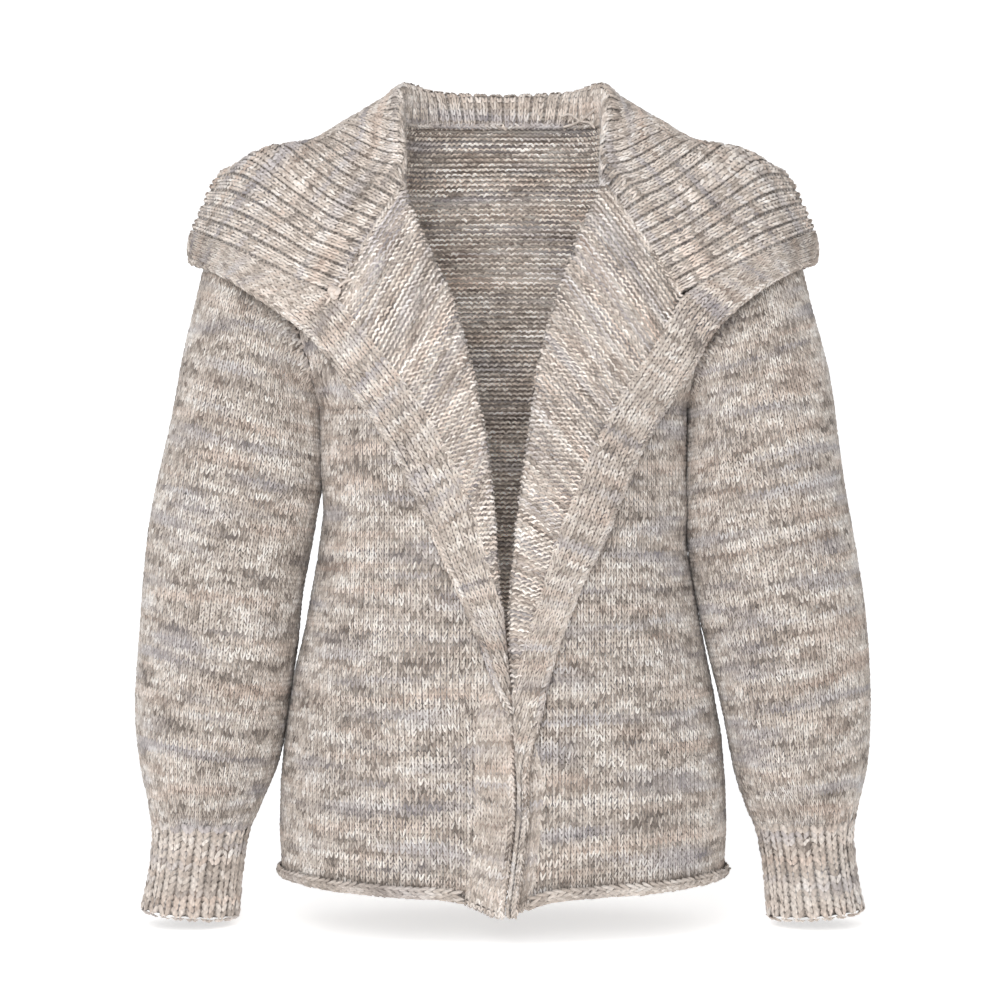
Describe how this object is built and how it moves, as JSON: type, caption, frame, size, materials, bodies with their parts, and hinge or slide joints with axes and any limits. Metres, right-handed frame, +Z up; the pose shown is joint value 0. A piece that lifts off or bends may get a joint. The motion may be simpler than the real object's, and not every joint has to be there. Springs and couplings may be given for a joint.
{
  "type": "cardigan",
  "caption": "Open-front knitted cardigan with a deep ribbed fold-over collar, turned-back lapels, long full sleeves and ribbed cuffs, shown worn and hollow.",
  "frame": {"origin": "midway between the neck ends of the two shoulder seams, at their height and 5 mm in front of them, where the wearer's shoulders carry the garment", "axes": "+Z up, -Y to the front of the body, +X to the wearer's left"},
  "size_m": [0.618, 0.2423, 0.7104],
  "materials": {
    "body_knit": "plain-knitted marled wool blend, matt",
    "band_knit": "plain-knitted marled wool blend, knitted lengthways, matt",
    "rib_knit": "ribbed marled wool blend, matt"
  },
  "bodies": {
    "root": {"back": "body_knit", "front_left": "body_knit", "front_right": "body_knit", "band_left": "band_knit", "band_right": "band_knit", "collar": "rib_knit", "sleeve_left": "body_knit", "sleeve_right": "body_knit", "cuff_left": "rib_knit", "cuff_right": "rib_knit"}
  },
  "joints": []
}
